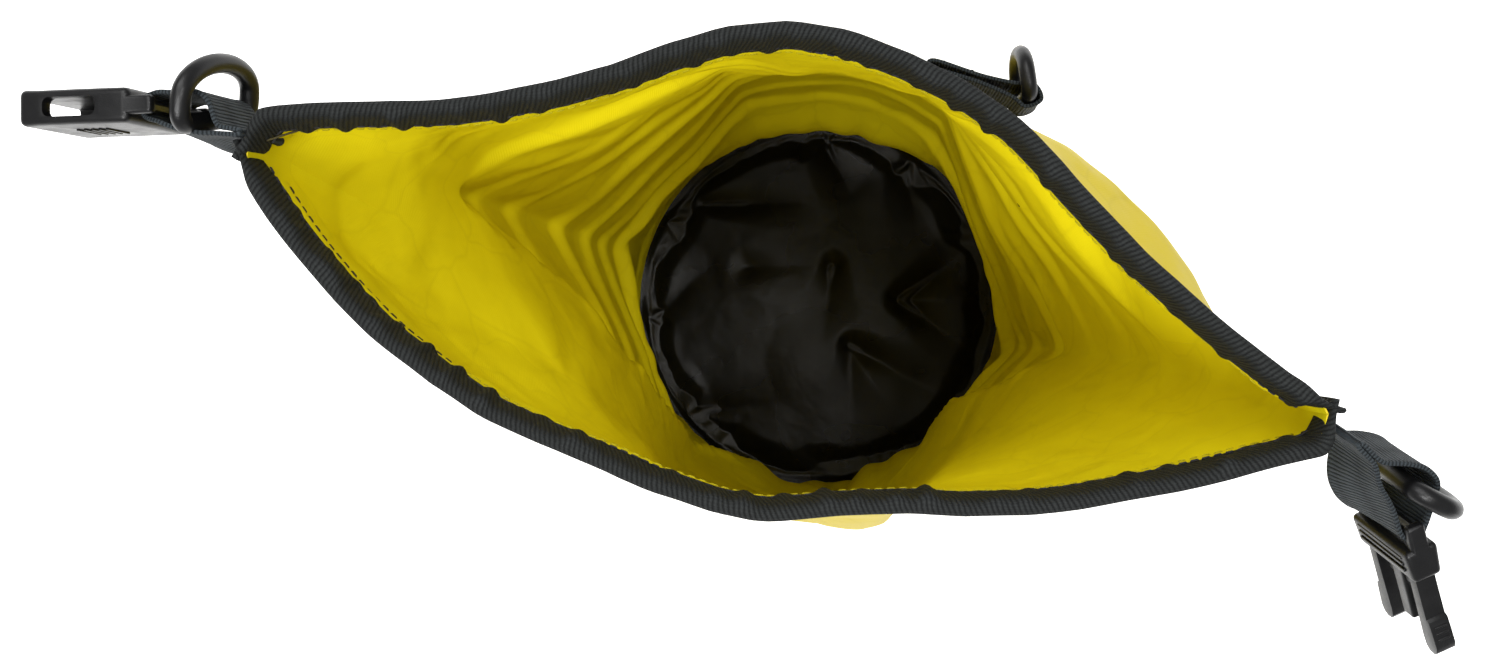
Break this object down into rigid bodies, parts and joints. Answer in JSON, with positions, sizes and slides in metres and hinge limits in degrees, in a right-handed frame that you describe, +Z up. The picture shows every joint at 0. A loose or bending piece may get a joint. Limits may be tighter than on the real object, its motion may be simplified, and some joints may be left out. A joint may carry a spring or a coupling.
{
  "type": "roll-top dry bag",
  "caption": "Roll-top dry bag of coated fabric with a round base, bound mouth, D-rings and the two halves of a side-release buckle at the mouth corners.",
  "frame": {"origin": "centre of the base's underside", "axes": "+Z up out of the mouth; +X along the mouth, from the buckle socket's corner to the buckle plug's corner; +Y to the back, where the lash ring is"},
  "size_m": [0.45, 0.2361, 0.5564],
  "materials": {
    "coated_fabric_yellow": "coated, slightly glossy",
    "coated_fabric_black": "coated, glossy, wrinkled",
    "woven_tape_black": "woven, matt",
    "webbing_black": "ribbed weave, matt",
    "moulded_plastic_black": "moulded, satin",
    "stiffener_plastic": "plain",
    "seam_tape_yellow": "film"
  },
  "bodies": {
    "bag": {"base_disc": "coated_fabric_black", "base_seam_tape": "seam_tape_yellow", "base_skirt": "coated_fabric_black", "body_back_panel": "coated_fabric_yellow", "body_front_panel": "coated_fabric_yellow", "lash_patch": "coated_fabric_black", "lash_tab": "webbing_black", "rim_binding_back": "woven_tape_black", "rim_binding_front": "woven_tape_black", "rim_stiffener_back": "stiffener_plastic", "rim_stiffener_front": "stiffener_plastic", "side_seam_tape_left": "seam_tape_yellow", "side_seam_tape_right": "seam_tape_yellow"},
    "left_tab": {"left_tab": "webbing_black"},
    "left_d_ring": {"left_d_ring": "moulded_plastic_black"},
    "socket": {"buckle_socket": "moulded_plastic_black"},
    "right_tab": {"right_tab": "webbing_black"},
    "right_d_ring": {"right_d_ring": "moulded_plastic_black"},
    "plug": {"buckle_plug": "moulded_plastic_black"},
    "plug_arm_upper": {"plug_arm_upper": "moulded_plastic_black"},
    "plug_arm_lower": {"plug_arm_lower": "moulded_plastic_black"},
    "lash_d_ring": {"lash_d_ring": "moulded_plastic_black"}
  },
  "joints": [
    {"name": "left_tab_swing", "type": "hinge", "parent": "bag", "child": "left_tab", "pos_m": [-0.1685, -0.001, 0.538], "axis": [-0.1654, -0.045, 0.9852], "range_deg": [-40, 40]},
    {"name": "left_d_ring_swing", "type": "hinge", "parent": "left_tab", "child": "left_d_ring", "pos_m": [-0.17675, 0.00118, 0.53671], "axis": [-0.1999, -0.2599, 0.9447], "range_deg": [-30, 35]},
    {"name": "socket_swing", "type": "hinge", "parent": "left_tab", "child": "socket", "pos_m": [-0.19043, 0.0008, 0.5344], "axis": [-0.1641, -0.0448, 0.9854], "range_deg": [-40, 40]},
    {"name": "right_tab_swing", "type": "hinge", "parent": "bag", "child": "right_tab", "pos_m": [0.171, -0.004, 0.538], "axis": [0.3051, -0.229, 0.9244], "range_deg": [-20, 35]},
    {"name": "right_d_ring_swing", "type": "hinge", "parent": "right_tab", "child": "right_d_ring", "pos_m": [0.18413, -0.00813, 0.53264], "axis": [0.15, -0.2, 0.9682], "range_deg": [-5, 50]},
    {"name": "plug_swing", "type": "hinge", "parent": "right_tab", "child": "plug", "pos_m": [0.18737, -0.01941, 0.52878], "axis": [0.3053, -0.2293, 0.9243], "range_deg": [-40, 30]},
    {"name": "plug_arm_upper_flex", "type": "hinge", "parent": "plug", "child": "plug_arm_upper", "pos_m": [0.19948, -0.03373, 0.53259], "axis": [0.773, 0.6265, -0.0999], "range_deg": [0, 6], "stiffness_Nm_per_rad": 0.6},
    {"name": "plug_arm_lower_flex", "type": "hinge", "parent": "plug", "child": "plug_arm_lower", "pos_m": [0.19307, -0.02892, 0.51318], "axis": [-0.773, -0.6265, 0.0999], "range_deg": [0, 6], "stiffness_Nm_per_rad": 0.6},
    {"name": "lash_d_ring_swing", "type": "hinge", "parent": "bag", "child": "lash_d_ring", "pos_m": [0.06353, 0.0918, 0.4], "axis": [0, 0, 1], "range_deg": [-90, 15]}
  ]
}
